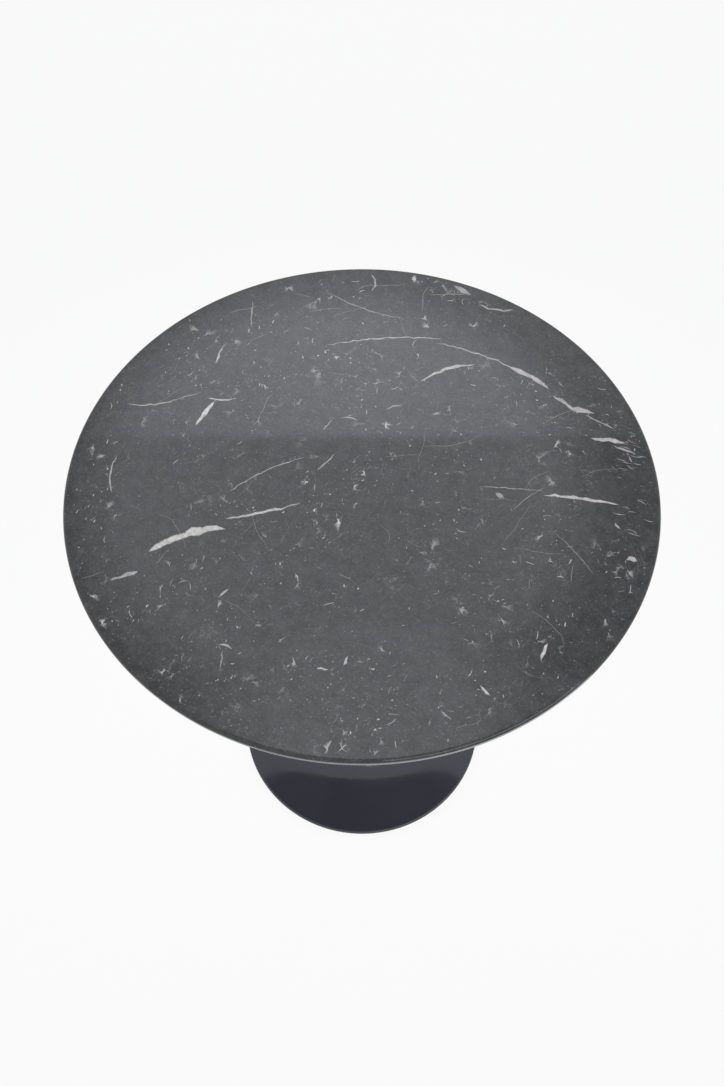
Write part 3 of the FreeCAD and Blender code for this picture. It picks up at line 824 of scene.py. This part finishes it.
def nut_cap(material):
    """Push-in cap: a dished face inside a raised lip, a moulding dimple and a thin skirt."""
    low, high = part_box("nut_cap")
    radius = high.x
    shape = turned(rounded([
        (0, low.z + DIMPLE_HEIGHT, 0),
        (DIMPLE_INSIDE, low.z + DIMPLE_HEIGHT, DIMPLE_ROUND),
        (DIMPLE_OUTSIDE, low.z + CAP_DISH, DIMPLE_ROUND),
        (CAP_DISH_EDGE * radius, low.z + CAP_DISH, CAP_LIP_ROUND),
        (CAP_LIP * radius, low.z, CAP_LIP_ROUND),
        (radius, low.z, CAP_OUTER_ROUND),
        (radius, high.z, CAP_SKIRT_ROUND),
        (radius - CAP_WALL, high.z, CAP_SKIRT_ROUND),
        (radius - CAP_WALL, low.z + CAP_WALL, CAP_INNER_ROUND),
        (0, low.z + CAP_WALL, 0),
    ]), 128)
    new_piece("nut_cap_moulded", shape, material, "table", ["nut_cap"])


# ---- Studio ----

CAMERA_DISTANCE = 0.562
CAMERA_HEIGHT = 1.316
CAMERA_TILT = math.radians(32.1)
LENS = 37.7
SENSOR_WIDTH = 36
ROOM_GLOW = 1.0
ROOM_TINT = (0.99, 0.995, 1.0)

# The floor's own glow fades from its middle outwards: (reach, glow).
FLOOR_REACH = 6
FLOOR_GREY = (0.09, 0.09, 0.09)
FLOOR_MIDDLE = (0.1, 0.895)
FLOOR_OUTSIDE = (0.9, 0.845)

# The ceiling card mirrors in the stone top: this many times larger, its middle this far to the rear.
CARD_HEIGHT = 2.5
CARD_SCALE = (CARD_HEIGHT - cad_box[1][2]) / (CAMERA_HEIGHT - cad_box[1][2]) + 1
CARD_MIDDLE = CAMERA_DISTANCE * (CARD_SCALE - 1)
CARD_SHARE = CARD_SCALE * cad_box[1][0]
CARD_TINT = (0.975, 0.985, 1.045)
DISC_GLOW = 1.0
FRONT_GLOW = 1.2 * DISC_GLOW
REAR_GLOW = 1.25

# Cards seen only in gloss: the near and far edge as (reach, height), the degrees round from the
# front where they start and end, and the strength. They are dimmer on the table's left.
MIRROR_CARDS = {
    "bright_floor": ((0.45, 0.004), (1.9, 0.004), -68, 68, 3.5),
    "side_window": ((1.75, 1.6), (1.55, 1.9), 6, 70, 5),
}
MIRROR_TINT = (0.98, 0.99, 1.03)
MIRROR_DIMMEST = 0.35


def camera():
    """A person's view, standing at the front and looking down at the top."""
    data = bpy.data.cameras.new("camera")
    data.sensor_width = SENSOR_WIDTH
    data.lens = LENS
    viewer = bpy.data.objects.new("camera", data)
    viewer.location = (0, -CAMERA_DISTANCE, CAMERA_HEIGHT)
    viewer.rotation_euler = (CAMERA_TILT, 0, 0)
    bpy.context.scene.collection.objects.link(viewer)
    bpy.context.scene.camera = viewer


def stage_piece(name, shape, material):
    """Make a piece of the studio, which isn't part of the table."""
    mesh = bpy.data.meshes.new(name)
    mesh.from_pydata(shape[0], [], shape[1])
    mesh.materials.append(material)
    piece = bpy.data.objects.new(name, mesh)
    bpy.context.scene.collection.objects.link(piece)
    return piece


def floor():
    """Pale floor sheet that gives most of its own light, so that hardly any shadow falls on it."""
    material, surface = new_material("white_floor", {"Roughness": 0.9})
    surface.inputs["Base Color"].default_value = (*FLOOR_GREY, 1)
    surface.inputs["Emission Color"].default_value = (1, 1, 1, 1)
    surface.inputs["Specular IOR Level"].default_value = 0
    length = node(material, "ShaderNodeVectorMath", {0: place(material)}, operation="LENGTH")
    near, near_glow = FLOOR_MIDDLE
    far, far_glow = FLOOR_OUTSIDE
    glow = spread(material, length.outputs["Value"], near, far, near_glow, far_glow)
    connect(material, glow, surface, "Emission Strength")
    stage_piece("floor", turned([(FLOOR_REACH, 0), (0, 0)], 96), material)


def glowing(name, tint):
    """Start a material that only gives light; its strength is still to be connected."""
    material = bpy.data.materials.new(name)
    material.use_nodes = True
    material.node_tree.nodes.clear()
    lamp = node(material, "ShaderNodeEmission", {"Color": (*tint, 1)})
    output = node(material, "ShaderNodeOutputMaterial")
    material.node_tree.links.new(lamp.outputs[0], output.inputs[0])
    return material, lamp


def light_card():
    """Soft overhead light: a bright disc with a soft edge, brighter towards the rear and the front."""
    material, lamp = glowing("light_card", CARD_TINT)
    shrink = node(material, "ShaderNodeVectorMath", {0: place(material), 1: (1 / CARD_SHARE,) * 3},
                  operation="MULTIPLY")
    spot = shrink.outputs[0]

    def disc(middle, full, edge, glow):
        """Even glow out to full, fading out at edge, in shares of the mirrored top's radius."""
        away = node(material, "ShaderNodeVectorMath", {0: spot, 1: middle}, operation="DISTANCE")
        return spread(material, away.outputs["Value"], full, edge, glow, 0)

    main = disc((-0.08, 0, 0), 0.72, 0.94, DISC_GLOW)
    front = disc((0.02, -0.82, 0), 0.28, 0.62, FRONT_GLOW)
    depth = node(material, "ShaderNodeSeparateXYZ", {0: spot}).outputs["Y"]
    behind_line = spread(material, depth, 0.175, 0.2)
    rear = math_of(material, "MULTIPLY", behind_line, disc((0, 0.5, 0), 0.15, 1.25, REAR_GLOW))
    glow = math_of(material, "ADD", math_of(material, "MAXIMUM", main, front), rear)
    connect(material, math_of(material, "ADD", glow, ROOM_GLOW), lamp, "Strength")
    card = stage_piece("light_card", turned([(0, 0), (1.6 * CARD_SHARE, 0)], 64), material)
    card.location = (0, CARD_MIDDLE, CARD_HEIGHT)
    card.visible_camera = False


def mirror_card(name, near_edge, far_edge, first, last, strength):
    """Glowing sheet bent round the front, only seen mirrored in gloss; edges are (reach, height)."""
    steps = 40
    vertices = []
    for step in range(steps + 1):
        angle = math.radians(-90 + first + (last - first) * step / steps)
        for reach, height in (near_edge, far_edge):
            vertices.append((reach * math.cos(angle), reach * math.sin(angle), height))
    faces = [(2 * step, 2 * step + 1, 2 * step + 3, 2 * step + 2) for step in range(steps)]
    material, lamp = glowing(name, MIRROR_TINT)
    side = node(material, "ShaderNodeSeparateXYZ", {0: place(material)}).outputs["X"]
    glow = spread(material, side, -0.9, 0.5, MIRROR_DIMMEST * strength, strength)
    connect(material, glow, lamp, "Strength")
    card = stage_piece(name, (vertices, faces), material)
    card.visible_camera = False
    card.visible_diffuse = False
    card.visible_shadow = False


def room_light():
    """An evenly white room all round."""
    world = bpy.data.worlds.new("white_room")
    world.use_nodes = True
    background = world.node_tree.nodes["Background"]
    background.inputs["Color"].default_value = (*ROOM_TINT, 1)
    background.inputs["Strength"].default_value = ROOM_GLOW
    bpy.context.scene.world = world
    bpy.context.scene.view_settings.view_transform = "Standard"


# ---- The table ----

steel = metal("zinc_plated_steel", STEEL_DARK, STEEL_LIGHT, (0.25, 0.42), 0.8 * MM, 0.02 * MM)
brass = metal("turned_brass", BRASS_DARK, BRASS_LIGHT, (0.2, 0.36), 0.5 * MM, 0.015 * MM)
rubber = moulded("gasket_rubber", RUBBER_DARK, RUBBER_LIGHT, 0.7 * MM, 0.04 * MM)
black_plastic = moulded("moulded_cap", CAP_DARK, CAP_LIGHT, 0.5 * MM, 0.025 * MM)
nylon = moulded("glide_nylon", NYLON_DARK, NYLON_LIGHT, 0.6 * MM, 0.02 * MM)

stone_top(marble())
nut_cap(black_plastic)
for corner in CORNERS:
    glide_stem(corner, steel)
    glide_pad(corner, nylon)

KEPT_NODES = {
    "pedestal": lacquer(),
    "support_board": painted_board(),
    "ballast_weight": cast_iron(),
    "flange_gasket": rubber,
    **dict.fromkeys(("threaded_inserts", "glide_inserts"), brass),
    **dict.fromkeys(("mounting_plate", "plate_screws", "rod_socket", "locating_pins", "tie_rod",
                     "rod_washer", "spring_washer", "rod_nut"), steel),
}
for node_name, material in KEPT_NODES.items():
    for material_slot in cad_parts[node_name].material_slots:
        material_slot.material = material

camera()
floor()
light_card()
for name, sizes in MIRROR_CARDS.items():
    mirror_card(name, *sizes)
room_light()
